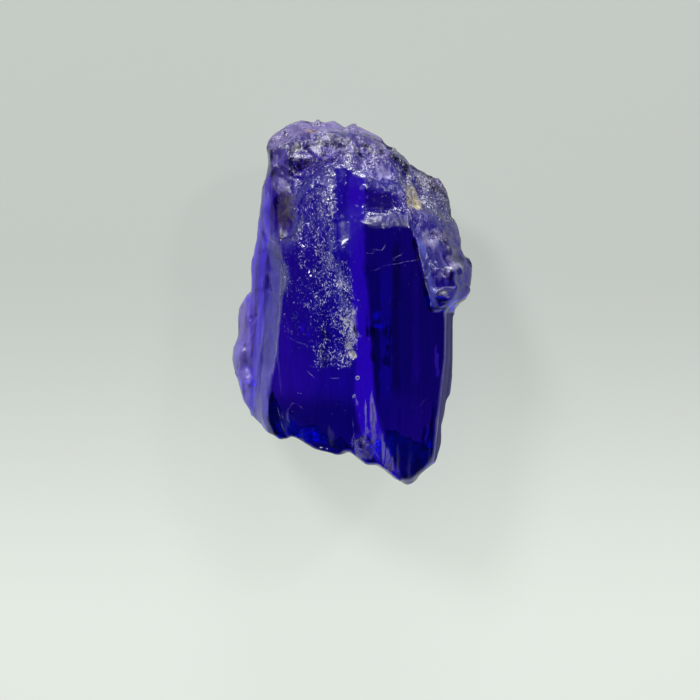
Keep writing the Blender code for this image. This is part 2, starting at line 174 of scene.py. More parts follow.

# Thin bright marks on the front, each a line of (x, y): fracture lines and scratches, and painted highlights
# on lit edges, ledges and glints.
MARKS = {
    "long scratch": [(0.79, 1.08), (1.31, 1.26), (1.75, 1.32), (2.24, 1.42)],
    "short scratches": [(0.80, 1.78), (1.05, 1.70), (1.17, 1.92)],
    "low dash": [(0.55, 1.64), (0.71, 1.64)],
    "right dash": [(1.51, 1.52), (1.65, 1.60)],
    "upper ledge": [(0.55, 2.75), (1.31, 2.75), (2.35, 2.84)],
    "lower ledge": [(0.70, 2.65), (1.15, 2.67), (1.67, 2.58)],
    "high dash": [(0.67, 3.21), (0.95, 3.20)],
    "hood edge": [(2.19, 2.29), (2.35, 1.64), (2.51, 0.96), (2.68, 0.24), (2.76, -0.20)],
    "hood crack": [(1.59, 4.86), (1.87, 4.93), (2.03, 4.87)],
    "hood glint": [(1.71, 4.73), (1.87, 4.58)],
    "foot scratch": [(2.26, -3.72), (2.43, -3.57), (2.56, -3.45)],
    "right bevel": [(2.69, -5.17), (2.71, -5.56), (2.58, -5.90), (2.0, -6.25)],
    "chip edge": [(0.03, -4.23), (0.07, -4.62), (-0.01, -5.05), (0.12, -5.42), (0.49, -5.63), (0.80, -5.62)],
    "chip fold": [(0.03, -5.0), (0.33, -4.76), (0.63, -5.39)],
    "left bevel": [(0.37, -4.58), (0.71, -5.14), (1.09, -5.69), (1.52, -6.15)],
    "step edge": [(-2.45, 1.47), (-2.51, -0.1), (-2.57, -1.1), (-2.66, -1.9), (-2.78, -2.6)],
    "strip ledge": [(-3.01, 2.22), (-2.82, 2.14), (-2.63, 1.96), (-2.50, 1.90)],
    "left hair": [(-2.21, -1.28), (-1.89, -1.45), (-1.57, -1.55)],
    "left dash": [(-1.55, -2.46), (-1.41, -2.59)],
    "seam dash": [(-0.69, -2.69), (-0.50, -2.69)],
    "star": [(-1.01, -2.03), (-0.85, -2.06)],
    "foot ripple": [(-2.56, -3.80), (-2.48, -4.16), (-2.38, -4.47)],
    "foot arch": [(-2.21, -3.77), (-2.06, -3.58), (-1.89, -3.61), (-1.79, -3.69)],
    "crest line": [
        (-2.67, 5.31), (-2.31, 5.48), (-1.96, 5.64), (-1.70, 5.82), (-1.41, 5.87), (-0.91, 5.87),
        (-0.39, 5.90),
    ],
    "head glint": [(-2.17, 4.77), (-2.03, 4.59), (-1.99, 4.43)],
    "head arch": [(-1.99, 3.65), (-1.88, 3.94), (-1.70, 3.94), (-1.66, 3.69)],
    "head spark": [(-0.98, 3.87), (-1.05, 3.69), (-1.12, 3.46)],
    "head ledge": [(-1.63, 5.06), (-1.37, 5.08), (-1.19, 5.17), (-1.01, 5.06)],
    "cap curve": [(-0.50, 4.73), (-0.32, 4.75), (-0.14, 4.59), (0.0, 4.48)],
}
# Marks that are brighter or fainter than the others, which have a strength of 1.
STRENGTH = {
    "hood edge": 1.7, "crest line": 1.3, "step edge": 0.55, "upper ledge": 0.6, "lower ledge": 0.6,
    "left hair": 0.6, "chip fold": 0.8, "left bevel": 0.5, "right bevel": 0.6,
}
# Small painted glints shaped as rings, as (x, y, radius), and their strength.
RING_GLINTS = [(-0.91, 0.87, 0.13), (0.17, -2.66, 0.07), (0.07, -3.32, 0.06), (-0.15, 4.95, 0.12)]
RING_SIDES = 8
RING_STRENGTH = 1.8
# Farther from a point than any mark, how far the marks waver, and where their strength ends.
FAR_AWAY = 9.0
MARK_WAVER = 0.04
MARK_END = (0.08, 0.16)

# What the surface has before any coat.
BASE_TINT = (235, 225, 255)
BASE_HAZE = (125, 112, 190)
# Between these shares of its half size, the edge of an oval fades out.
OVAL_EDGE = (0.45, 1.1)
# The places are bent this far by noise before the coats are laid.
COAT_BEND = 0.06
# The seam lies a little left of its line. Its half width and reach, and how ragged its chips are.
SEAM_SHIFT = 0.06
SEAM_WIDTH, SEAM_WIDTH_CHANGE = 0.27, 0.1
SEAM_REACH = (-2.2, 4.2, 0.3)
RAGGED = 0.7
SEAM_CHIP = ((-0.13, -1.60), (0.15, 0.18))
BRIGHT_CHIP = ((-0.01, -1.90), (0.20, 0.17))
# The dark line in the strip, the frill's reach and the hood's rim, which carries a painted highlight, each as
# (from, to, how soft).
STRIP_LINE = (-0.30, -0.26, 0.04)
FRILL_REACH = (-3.5, -0.1, 0.2)
HOOD_RIM = (-0.02, 0.22, 0.08)
BEVEL_LINE = (-0.12, 0.02, 0.05)
# The broken ledge under the head waves along X, by this far and this fast.
LEDGE = ((0.5, 2.1, 0.25), (2.72, 2.88, 0.16))
LEDGE_WAVE = (0.08, 4.5)
# The white grains, partly painted glints, are this thick on the whole, and vary by this much.
GRAIN_SHARE, GRAIN_CHANGE = 0.85, 0.35
# Below the foot and wider than the crystal, for what reaches all the way down or across.
FOOT_END = -7.0
ALL_ACROSS = (-9.0, 9.0, 1.0)

# The material's patterns: (bumps per millimetre along X, Y and Z, detail, roughness, swirl).
PATTERNS = {
    "mottle": ((4.5, 3.5, 4.5), 5.0, 0.62, 0.0),
    "streaks": ((5.0, 0.3, 5.0), 3.0, 0.6, 0.0),
    "fleck": ((15.0, 12.0, 15.0), 2.0, 0.6, 0.0),
    "speckle": ((19.0, 16.0, 19.0), 1.0, 0.5, 0.0),
    "strokes": ((8.5, 4.2, 8.5), 3.0, 0.65, 0.30),
    "glints": ((19.0, 9.0, 19.0), 2.0, 0.6, 0.30),
    "curl": ((5.5, 4.5, 5.5), 1.0, 0.5, 0.0),
    "gate": ((3.2, 2.8, 3.2), 2.0, 0.6, 0.0),
}
SWIRLS_PER_MM = 1.3
LARGE_CELLS = (1.5, 1.2, 1.5)
SMALL_CELLS = (3.8, 3.0, 3.8)
FACET_CELLS = (8.0, 6.0, 8.0)
# Frost covers a point where its pattern passes a level, which the veil lowers. It never hides the
# tint or blocks the light in full.
STROKE_SHARE = 0.55
COVER_LEVEL, COVER_BY_VEIL, COVER_SOFT = 0.79, 0.52, 0.08
COVER_HIDES, COVER_BLOCKS = 0.9, 0.75
# How patterns shade the colours: (pattern from, to, brightness from, to). On the breaks, the strokes and the
# cells paint light and shade of the broken relief.
TINT_BY_STREAKS = (0.3, 0.7, 0.82, 1.18)
TINT_BY_CELLS = (0.4, 1.6, 0.5, 1.6)
HAZE_BY_STREAKS = (0.3, 0.7, 0.85, 1.18)
HAZE_BY_STROKES = (0.36, 0.64, 0.40, 1.75)
HAZE_BY_CELLS = (0.4, 1.6, 0.75, 1.3)
# White marks of three kinds, dots, dashes and curls, partly white frost grains and partly painted
# glints: the level that a pattern has to pass, how far the grain lowers that level, how softly the
# marks end, and how strong they are.
DOT_LEVEL, DOT_BY_GRAIN, DOT_SOFT, DOT_STRENGTH = 0.80, 0.22, 0.05, 0.8
DASH_LEVEL, DASH_BY_GRAIN, DASH_SOFT, DASH_BY_GATE = 0.93, 0.26, 0.09, 0.34
CURL_LEVEL, CURL_BY_GRAIN, CURL_SOFT, CURL_STRENGTH = 0.74, 0.33, 0.05, 0.75
CURL_WIDTH = (0.006, 0.019)
# The marks: how far flecks fray them, their width, and how the gate and the flecks fade them.
LINE_FRAY = 0.06
LINE_WIDTH = (0.030, 0.055)
LINE_BY_GATE = (0.38, 0.60, 0.12, 0.75)
LINE_BY_FLECK = (0.38, 0.55, 0.35, 1.1)
# The white of the frost grains and of the painted glints and highlights.
WHITE_AND_GLINT = (0.80, 0.79, 0.90, 1)
WHITE_HIDES, WHITE_BLOCKS = 0.88, 0.9
# Roughness: the least, and what a broken and a dull surface add.
LEAST_ROUGHNESS, BROKEN_ROUGHNESS, DULL_ROUGHNESS = 0.05, 0.22, 0.45
# The heights of the fine bumps in the material.
STREAK_BUMP, STREAK_BUMP_STRENGTH = 0.01, 0.5
FACET_BUMP = 0.035
MOTTLE_BUMP = 0.08


def colour(red, green, blue):
    """A displayed colour of 0 to 255 as linear light."""
    return np.array([(part / 255) ** DISPLAY_GAMMA for part in (red, green, blue)])


def ramp(low, high, value):
    """0 below low, 1 above high, and a smooth rise between them, for numbers or arrays."""
    share = np.clip((value - low) / (high - low), 0.0, 1.0)
    return share * share * (3 - 2 * share)


def between(low, high, soft, value):
    """1 from low to high, fading to 0 over soft on both sides."""
    return ramp(low - soft, low, value) * (1 - ramp(high, high + soft, value))


def border(name, value):
    """The rise at one of the named borders."""
    return ramp(*BORDERS[name], value)


def line_at(line, place):
    """Where a line of (place, value) points lies at each place."""
    return np.interp(place, [point[0] for point in line], [point[1] for point in line])


def spot(x, y, centre, half):
    """An oval spot with a soft edge, 1 in its middle."""
    away = np.hypot((x - centre[0]) / half[0], (y - centre[1]) / half[1])
    return 1 - ramp(*OVAL_EDGE, away)


def block(x, y, across, along, share=1.0):
    """A block with soft sides, share in its middle, from (from, to, how soft) across and along."""
    return share * between(*across, x) * between(*along, y)


# Shapes for the coats, each a function of x and y.
def everywhere(x, y):
    return 1.0


def oval(centre, half):
    return lambda x, y: spot(x, y, centre, half)


def patch(across, along):
    return lambda x, y: block(x, y, across, along)


def above(low, high):
    return lambda x, y: ramp(low, high, y)


def below(low, high):
    return lambda x, y: 1 - ramp(low, high, y)


# The coats as (zone, shape in it, what they set), laid on in this order. Paint says what each
# value does.
COATS = {
    "side walls": ("wall", everywhere, dict(
        tint=(165, 145, 235), haze=(92, 72, 196), veil=0.16, dull=0.08, rough=0.1)),
    "walls at the foot": ("wall", below(-4.0, -3.0), dict(tint=(30, 24, 84))),

    "left face": ("left face", everywhere, dict(tint=(86, 104, 144), grain=0.08)),
    "left face, upper part": ("left face", above(-2.4, -0.4), dict(grain=0.52, rough=0.12)),
    "left glow": ("left face", oval((-1.95, -2.6), (0.9, 1.0)), dict(tint=(116, 112, 162))),
    "shoulder glow": ("left face", oval((-2.3, -1.3), (0.3, 0.9)), dict(tint=(124, 118, 172))),
    "low shade": ("left face", oval((-0.9, -4.2), (0.9, 0.9)), dict(tint=(70, 50, 88))),
    "left face, foot": ("left face", below(-3.9, -2.8), dict(tint=(30, 34, 78))),
    "left flash": ("left face", oval((-1.72, -0.93), (0.07, 0.17)), dict(tint=(150, 90, 255), veil=0.0)),
    "left flash 2": ("left face", oval((-1.51, -1.15), (0.05, 0.12)), dict(tint=(150, 90, 255), veil=0.0)),

    "bright band": ("band", everywhere, dict(tint=(255, 245, 255))),
    "band, foot": ("band", below(-3.6, -3.0), dict(haze=(68, 54, 170), veil=0.46, rough=0.1)),

    "right face": ("right face", everywhere, dict(tint=(36, 30, 76), grain=0.05)),
    "right face, upper part": ("right face", above(0.4, 1.6), dict(tint=(56, 38, 92), grain=0.16)),
    "dark stripe": ("right face", patch((0.60, 0.92, 0.06), (-3.8, -1.0, 0.5)), dict(tint=(22, 10, 54))),
    "blue stripe": ("right face", patch((1.02, 1.33, 0.06), (FOOT_END, 0.6, 1.0)), dict(tint=(58, 38, 125))),
    "thin dark stripe": (
        "right face", patch((1.45, 1.62, 0.06), (FOOT_END, 1.6, 0.8)), dict(tint=(30, 14, 52))),
    "right stripe": ("right face", patch((2.1, 2.3, 0.08), (-2.6, 0.5, 0.5)), dict(tint=(62, 40, 96))),
    "right glow": ("right face", oval((1.6, -4.3), (1.3, 1.4)), dict(tint=(54, 32, 92))),
    "violet dash": ("right face", patch((2.9, 3.02, 0.04), (-2.6, -1.6, 0.3)), dict(
        haze=(60, 30, 190), veil=0.6)),
    "right flash": ("right face", oval((0.86, -0.52), (0.13, 0.16)), dict(tint=(50, 25, 240), veil=0.0)),
    "right flash 2": ("right face", oval((0.95, -0.88), (0.22, 0.10)), dict(tint=(50, 25, 240), veil=0.0)),
    # The grazing side face is covered with a dark blue haze: painted shade.
    "sliver": ("sliver", everywhere, dict(tint=(60, 50, 90), haze=(36, 14, 124), veil=1.0, dull=1.6)),

    "beside the seam": ("left face", patch((-1.25, -0.3, 0.3), (-2.2, 3.5, 0.4)), dict(
        grain=0.78, rough=0.15)),
    "seam": ("seam", everywhere, dict(haze=(124, 118, 186), veil=0.40, grain=0.98, rough=0.25)),
    "seam, middle": ("seam", patch(ALL_ACROSS, (-1.5, 0.9, 0.5)), dict(
        haze=(150, 146, 200), veil=0.5, grain=1.06, rough=0.45)),
    "seam chip": ("seam chip", everywhere, dict(haze=(196, 194, 206), veil=0.9, rough=0.6)),
    "bright chip": ("bright chip", everywhere, dict(haze=(246, 242, 218), veil=1.0, grain=0.9, rough=0.6)),
    # A small pit painted nearly black: painted shade.
    "shaded pit": ("all", oval((0.10, -0.98), (0.08, 0.26)), dict(
        tint=(4, 2, 12), haze=(8, 4, 20), veil=0.6, grain=0.0)),
    "glitter": ("all", oval((-1.72, 1.15), (0.24, 0.22)), dict(veil=0.2, grain=0.92)),
    "upper glitter": ("all", oval((-1.80, 1.75), (0.12, 0.35)), dict(grain=0.85)),

    "strip": ("strip", everywhere, dict(
        tint=(150, 150, 250), haze=(92, 62, 255), veil=0.95, rough=0.1, grain=0.0, dull=0.5)),
    "outer strip": ("outer strip", everywhere, dict(haze=(108, 74, 255), veil=0.95)),
    "strip line": ("strip line", everywhere, dict(haze=(72, 52, 180))),
    "frill": ("frill", everywhere, dict(haze=(138, 118, 240), veil=0.8, rough=0.12, dull=0.6)),
    "step": ("step", everywhere, dict(
        tint=(110, 105, 160), haze=(46, 16, 174), veil=0.9, rough=0.1, grain=0.0, dull=0.5)),
    "step, foot": ("step", below(-2.6, -2.0), dict(haze=(92, 78, 205))),
    "step, head": ("step", above(2.2, 3.2), dict(tint=(130, 110, 200), haze=(70, 52, 150), veil=0.6)),
    "dark lines": ("all", patch((-2.68, -2.36, 0.05), (1.6, 3.0, 0.3)), dict(tint=(120, 100, 150), veil=0.1)),

    "head": ("head", everywhere, dict(
        tint=(108, 92, 156), haze=(66, 42, 166), veil=0.32, grain=0.64, rough=0.42, dull=0.35)),
    "head, top": ("head", above(4.4, 5.2), dict(
        haze=(62, 40, 150), veil=0.55, grain=0.76, rough=0.38, dull=0.5)),
    "left shoulder": ("head", oval((-2.55, 4.6), (0.45, 1.0)), dict(
        haze=(70, 50, 160), veil=0.88, grain=0.40, rough=0.2, dull=0.7)),
    "head pit": ("head", oval((-1.55, 4.85), (0.40, 0.33)), dict(
        tint=(150, 125, 180), haze=(66, 48, 150), veil=0.6, grain=0.6)),
    "crest pit": ("head", oval((-0.17, 5.15), (0.2, 0.15)), dict(tint=(150, 130, 150), veil=0.1)),
    "dark column": ("head", patch((-0.55, -0.10, 0.1), (1.5, 4.5, 0.25)), dict(
        tint=(118, 92, 180), veil=0.0, grain=0.3, rough=0.06, dull=0.2)),
    "bright column": ("head", patch((-0.08, 0.42, 0.1), (1.2, 4.1, 0.5)), dict(
        tint=(225, 215, 245), haze=(75, 60, 195), veil=0.0, grain=0.2, rough=0.04, dull=0.25)),
    "cap": ("head", oval((0.75, 5.0), (1.15, 0.72)), dict(haze=(112, 100, 168), veil=0.52, grain=0.84)),
    "cap, lower part": ("head", oval((0.98, 4.45), (0.55, 0.3)), dict(
        haze=(158, 152, 205), veil=0.62, grain=0.5)),
    "under the cap": ("head", oval((0.9, 3.95), (0.85, 0.28)), dict(
        haze=(80, 64, 180), veil=0.45, grain=0.25)),
    "clear window": ("head", oval((1.03, 3.45), (0.65, 0.42)), dict(
        tint=(72, 52, 96), veil=0.10, grain=0.42, rough=0.06, dull=0.3)),
    "over the ledge": ("head", oval((1.2, 2.92), (0.8, 0.12)), dict(
        haze=(70, 50, 160), veil=0.4, grain=0.55, rough=0.25, dull=0.5)),
    "left stain, rim": ("head", oval((-2.35, 3.1), (0.42, 0.85)), dict(
        tint=(100, 85, 115), haze=(86, 74, 104), veil=0.66, grain=0.15)),
    "left stain": ("head", oval((-2.2, 3.2), (0.34, 0.8)), dict(haze=(84, 74, 84), veil=0.62, grain=0.4)),
    "beside the stain": ("head", oval((-1.75, 3.5), (0.3, 0.4)), dict(haze=(98, 86, 130), veil=0.5)),
    "head glitter": ("head", oval((-0.85, 3.15), (0.42, 0.55)), dict(
        haze=(150, 145, 190), veil=0.42, grain=1.15)),
    # Bright white glints on the crest, painted pale: painted highlights.
    "crest glints": ("head", oval((-2.36, 5.42), (0.2, 0.1)), dict(
        haze=(220, 218, 228), veil=0.6, grain=1.0)),
    "ledge": ("ledge", everywhere, dict(rough=0.32, grain=0.55)),

    "dull column": ("front", oval((-0.1, 2.4), (0.55, 1.1)), dict(dull=0.4)),
    "dull ledge": ("front", oval((0.9, 2.72), (0.7, 0.3)), dict(dull=0.6)),
    "dull ledge, right": ("front", oval((1.8, 2.75), (0.6, 0.3)), dict(dull=0.6)),
    "dull stain": ("front", oval((-2.35, 2.4), (0.35, 0.5)), dict(dull=0.7)),
    "dull shoulder": ("front", oval((-2.45, 4.1), (0.4, 0.5)), dict(dull=0.9)),
    "dull foot": ("front", oval((1.0, -5.3), (0.5, 0.9)), dict(dull=0.5)),

    "flange": ("flange", everywhere, dict(
        tint=(170, 150, 225), haze=(122, 108, 172), veil=0.74, grain=0.55, rough=0.32)),
    "crest stain": ("flange", oval((-1.38, 5.96), (0.26, 0.10)), dict(
        haze=(186, 146, 92), veil=1.0, grain=0.0)),

    "hood": ("hood", everywhere, dict(
        tint=(96, 84, 138), haze=(92, 78, 164), veil=0.42, grain=0.22, rough=0.3, dull=0.5)),
    "hood, slope": ("hood", above(2.0, 3.0), dict(
        tint=(60, 44, 120), haze=(108, 90, 156), veil=0.34, grain=0.80, rough=0.55, dull=0.35)),
    "slope glitter": ("hood", oval((2.35, 4.0), (0.6, 0.6)), dict(grain=1.1)),
    "hood stain": ("hood", oval((2.04, 3.62), (0.42, 0.55)), dict(
        haze=(168, 150, 98), veil=0.72, grain=0.95)),
    "yellow glitter": ("hood", oval((2.28, 3.34), (0.24, 0.20)), dict(
        haze=(244, 230, 150), veil=0.88, grain=1.0)),
    "under the stain": ("hood", oval((2.45, 2.95), (0.4, 0.26)), dict(
        haze=(104, 94, 168), veil=0.66, grain=0.15)),
    "grey patch": ("hood", oval((3.3, 2.3), (0.32, 0.42)), dict(haze=(92, 84, 108), veil=0.6, grain=0.25)),
    "pale patch": ("hood", oval((2.78, 2.2), (0.5, 0.4)), dict(haze=(160, 154, 206), veil=0.72, grain=0.8)),
    # A facet above the lip painted dark: painted shade.
    "shaded hood facet": ("hood", oval((3.7, 1.50), (0.36, 0.13)), dict(tint=(50, 34, 90), veil=0.0, grain=0.0)),
    # The lit ledge painted pale: painted highlight.
    "hood lip highlight": ("hood", oval((3.55, 1.16), (0.36, 0.13)), dict(haze=(180, 176, 208), veil=0.85, grain=0.5)),
    # Blue glints painted as a bright blue line: painted highlights.
    "blue glint line": ("hood", oval((3.5, 0.62), (0.42, 0.09)), dict(haze=(76, 80, 205), veil=0.6, grain=0.1)),
    "hood, foot": ("hood", below(0.2, 0.9), dict(
        tint=(84, 66, 134), haze=(58, 44, 144), veil=0.16, grain=0.12)),
    # The hood's rim painted bright blue: a painted highlight along its edge.
    "hood rim": ("hood rim", everywhere, dict(haze=(98, 104, 205), veil=0.75, dull=0.4)),

    "foot chip": ("foot", oval((0.38, -5.1), (0.5, 0.62)), dict(
        tint=(140, 125, 185), haze=(100, 88, 166), veil=0.58, grain=0.3, rough=0.45)),
    "foot bevel": ("bevel", everywhere, dict(haze=(80, 66, 164), veil=0.45)),
    "left foot": ("foot", oval((-2.3, -4.0), (0.6, 0.7)), dict(
        haze=(70, 56, 150), veil=0.3, grain=0.3, rough=0.3)),

    # The outermost line is painted dark: painted shade for the outline's dark edge.
    "rim": ("rim", everywhere, dict(tint=(60, 50, 120), haze=(20, 8, 80), veil=0.7, grain=0.0)),
}


def ring(x, y, radius):
    """The points of a small closed circle."""
    turns = [2 * math.pi * side / RING_SIDES for side in range(RING_SIDES + 1)]
    return [(x + radius * math.cos(turn), y + radius * math.sin(turn)) for turn in turns]


def nearest_mark(x, y):
    """How far each point lies from the nearest mark, negative on its right side, and its strength."""
    nearest, strength = np.full(len(x), FAR_AWAY), np.ones(len(x))
    routes = [(route, STRENGTH.get(name, 1.0)) for name, route in MARKS.items()]
    routes += [(ring(*circle), RING_STRENGTH) for circle in RING_GLINTS]
    for route, bright in routes:
        for (x0, y0), (x1, y1) in zip(route, route[1:]):
            run, rise = x1 - x0, y1 - y0
            along = np.clip(((x - x0) * run + (y - y0) * rise) / (run ** 2 + rise ** 2), 0, 1)
            away = np.hypot(x - x0 - along * run, y - y0 - along * rise)
            side = np.where((x - x0) * rise - (y - y0) * run > 0, -1.0, 1.0)
            closer = away < np.abs(nearest)
            nearest, strength = np.where(closer, away * side, nearest), np.where(closer, bright, strength)
    return nearest, strength


def noise_at(points, name):
    """Smooth noise of about -1 to 1 at each point, by its name in the table."""
    scale, seed, octaves = SURFACE_NOISE[name]
    shift, scale = Vector((seed, 0, 0)), Vector(scale)
    return np.array([noise.fractal(Vector(p) * scale + shift, 1.0, 2.0, octaves) for p in points])


def facets_at(points, size, seed):
    """Height in millimetres over flat facets of about that size, each tilted its own way."""
    draw = np.random.default_rng(seed)
    low, high = points.min(axis=0) - size, points.max(axis=0) + size
    count = int(np.prod(high - low) / size ** 3)
    middles = draw.uniform(low, high, (count, 3))
    tilts = draw.normal(0.0, FACET_TILT, (count, 3))
    tree = KDTree(count)
    for index, middle in enumerate(middles):
        tree.insert(middle, index)
    tree.balance()
    nearest = np.array([tree.find(point)[1] for point in points])
    return np.sum((points - middles[nearest]) * tilts[nearest], axis=1)


def fine_surface(node):
    """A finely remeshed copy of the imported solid, with its facets smoothed away."""
    rough = bpy.data.objects.new("rough_copy", node.data.copy())
    bpy.context.scene.collection.objects.link(rough)
    remesh = rough.modifiers.new("fine", "REMESH")
    remesh.mode = "VOXEL"
    remesh.voxel_size = VOXEL * MM
    smooth = rough.modifiers.new("soften", "SMOOTH")
    smooth.factor = SMOOTHING_STEP
    smooth.iterations = FACET_SMOOTHINGS
    evaluated = rough.evaluated_get(bpy.context.evaluated_depsgraph_get())
    mesh = bpy.data.meshes.new_from_object(evaluated)
    bpy.data.objects.remove(rough, do_unlink=True)
    mesh.name = "tanzanite_surface"
    mesh.materials.clear()
    return mesh


def places_and_normals(mesh):
    """The mesh's vertex places, in millimetres from the outline's middle, and its normals."""
    places = np.zeros(len(mesh.vertices) * 3, np.float32)
    normals = np.zeros(len(mesh.vertices) * 3, np.float32)
    mesh.vertices.foreach_get("co", places)
    mesh.vertex_normals.foreach_get("vector", normals)
    places = places.reshape(-1, 3).astype(np.float64) / MM - np.array([*MIDDLE, 0.0])
    return places, normals.reshape(-1, 3)


def calm_share(x, y, facing_up, front):
    """How strongly each point is calmed."""
    share = block(x, y, *CALM_LEFT_FACE) * ramp(*CALM_FACING_UP, facing_up)
    share = np.maximum(share, block(x, y, *CALM_COLUMN) * front)
    share = np.maximum(share, block(x, y, *CALM_LEDGE, CALM_LESS) * front)
    share = CALM_SHARE * np.maximum(share, CALM_LESS * spot(x, y, *CALM_STRIP) * front)
    return np.maximum(share, spot(x, y, *CALM_FULLY) * front)


def calmed(mesh, places, share):
    """The places with small bumps smoothed away where share is near 1."""
    ends = np.zeros(len(mesh.edges) * 2, np.int32)
    mesh.edges.foreach_get("vertices", ends)
    ends = ends.reshape(-1, 2)
    count = np.bincount(ends.ravel(), minlength=len(places))[:, None]
    for _ in range(CALM_ROUNDS):
        total = np.zeros_like(places)
        np.add.at(total, ends[:, 0], places[ends[:, 1]])
        np.add.at(total, ends[:, 1], places[ends[:, 0]])
        places = places + SMOOTHING_STEP * share[:, None] * (total / count - places)
    return places


def zones(places, normals):
    """Soft masks, 0 to 1, for the regions of the surface."""
    x, y, z = places.T
    facing_up = normals[:, 2]
    front = border("front", facing_up)
    from_left, from_strip = x - line_at(LEFT_SHOULDER, y), x - line_at(STRIP_EDGE, y)
    from_band, past_band = x - line_at(BAND_LEFT, y), x - line_at(BAND_RIGHT, y)
    from_right = x - line_at(RIGHT_SHOULDER, y)
    waver = noise_at(places, "head border")
    hood = border("hood", x - line_at(HOOD_EDGE, y)) * border("hood foot", y)
    sliver = border("sliver", from_right) * (1 - border("sliver end", y)) * border("sliver height", z)
    on_right = border("right half", x)
    head_left = border("head on left", y + HEAD_WAVER[0] * waver)
    head_right = border("head on right", y + HEAD_WAVER[1] * waver)
    head = (head_left * (1 - on_right) + head_right * on_right) * border("head", from_left)
    return {
        "all": np.ones(len(x)),
        "front": front,
        "wall": border("wall", facing_up) * (1 - front),
        "rim": between(*PAINTED_OUTLINE, facing_up) * (1 - sliver),
        "hood": hood * front,
        "head": head * (1 - hood) * front,
        "flange": border("flange", y - line_at(CREST, x)) * between(*CREST_SPAN, x) * front,
        "strip": (1 - border("strip", from_strip)) * (1 - border("strip end", y)) * front,
        "step": (
            border("strip", from_strip) * (1 - border("step", from_left)) * (1 - border("step end", y))
            * front),
        "left face": border("left face", from_left) * (1 - border("left face end", from_band)) * front,
        "band": border("band", from_band) * (1 - border("band end", past_band)) * front,
        "right face": (
            border("right face", past_band) * (1 - border("right face end", from_right))
            * (1 - hood) * front),
        "sliver": sliver,
    }


def fine_zones(x, y, zone):
    """Smaller soft masks, inside the zones, at places that the coats' noise has bent."""
    flat = np.column_stack([x, y, y])
    width = SEAM_WIDTH + SEAM_WIDTH_CHANGE * noise_at(flat, "seam width")
    seam = np.exp(-((x + SEAM_SHIFT - line_at(WHITE_SEAM, y)) / width) ** 2)
    ragged = 1 + RAGGED * noise_at(flat, "ragged")
    from_strip = x - line_at(STRIP_EDGE, y)
    hood_rim = between(*HOOD_RIM, x - line_at(HOOD_EDGE, y)) * (1 - border("hood rim end", y))
    foot = zone["front"] * (1 - border("foot", y))
    wave, turns = LEDGE_WAVE
    return {
        "seam": seam * between(*SEAM_REACH, y),
        "seam chip": spot(x, y, SEAM_CHIP[0], [part * ragged for part in SEAM_CHIP[1]]),
        "bright chip": spot(x, y, BRIGHT_CHIP[0], [part * ragged for part in BRIGHT_CHIP[1]]),
        "outer strip": zone["strip"] * (1 - border("outer strip", from_strip)),
        "strip line": zone["strip"] * between(*STRIP_LINE, from_strip),
        "frill": zone["strip"] * ((1 - border("frill", x)) * between(*FRILL_REACH, y)),
        "ledge": block(x, y - wave * np.sin(turns * x), *LEDGE) * (1 - zone["hood"]),
        "hood rim": zone["hood"] * hood_rim,
        "foot": foot,
        "bevel": foot * between(*BEVEL_LINE, x - line_at(BEVEL, y)) * (1 - border("bevel end", y)),
    }


class Paint:
    """What the material reads at each point, laid on in coats.

    tint is the colour that the clear stone lets through, haze the colour of the frost on it,
    veil the frost's share, grain the thickness of the white grains, which are partly painted
    glints, rough how broken the surface is, and dull how far it blurs what it reflects. In some
    coats the tint and the haze also carry painted light and shade.
    """

    def __init__(self, count):
        self.tint = np.tile(colour(*BASE_TINT), (count, 1))
        self.haze = np.tile(colour(*BASE_HAZE), (count, 1))
        self.veil = np.zeros(count)
        self.grain = np.zeros(count)
        self.rough = np.zeros(count)
        self.dull = np.zeros(count)

    def lay(self, mask, coat):
        for name, value in coat.items():
            held = getattr(self, name)
            if held.ndim == 2:
                setattr(self, name, held + mask[:, None] * (colour(*value) - held))
            else:
                setattr(self, name, held + mask * (value - held))


def painted(places, zone):
    """The painted values, with the coats laid on in their order."""
    x = places[:, 0] + COAT_BEND * noise_at(places, "bend x")
    y = places[:, 1] + COAT_BEND * noise_at(places, "bend y")
    zone = {**zone, **fine_zones(x, y, zone)}
    paint = Paint(len(places))
    for place, shape, coat in COATS.values():
        paint.lay(zone[place] * shape(x, y), coat)
    paint.grain *= zone["front"] * (GRAIN_SHARE + GRAIN_CHANGE * noise_at(places, "grain"))
    return paint


def relieve(places, normals, rough):
    """Moves the points outward by the grain of the breaks and the striations of the faces."""
    bumps = COARSE_BUMP * noise_at(places, "coarse") + FINE_BUMP * noise_at(places, "fine")
    broken = bumps + facets_at(places, *LARGE_FACETS) + SMALL_FACET_SHARE * facets_at(places, *SMALL_FACETS)
    relief = rough * broken + (1 - rough) * STRIATION * noise_at(places, "striations")
    relief *= ramp(*RELIEF_HEIGHTS, places[:, 2])
    moved = places + normals * relief[:, None]
    for middle, depth, half in NOTCHES:
        near_middle = np.exp(-((moved[:, 0] - middle) / half) ** 2)
        moved[:, 1] -= depth * near_middle * ramp(*NOTCH_RISE, moved[:, 1])
    return moved


def add_values(mesh, name, values):
    """Stores one number per vertex, or one colour, for the material to read."""
    if values.ndim == 1:
        store = mesh.attributes.new(name, "FLOAT", "POINT")
        store.data.foreach_set("value", values.astype(np.float32))
    else:
        store = mesh.attributes.new(name, "FLOAT_VECTOR", "POINT")
        store.data.foreach_set("vector", values.astype(np.float32).ravel())


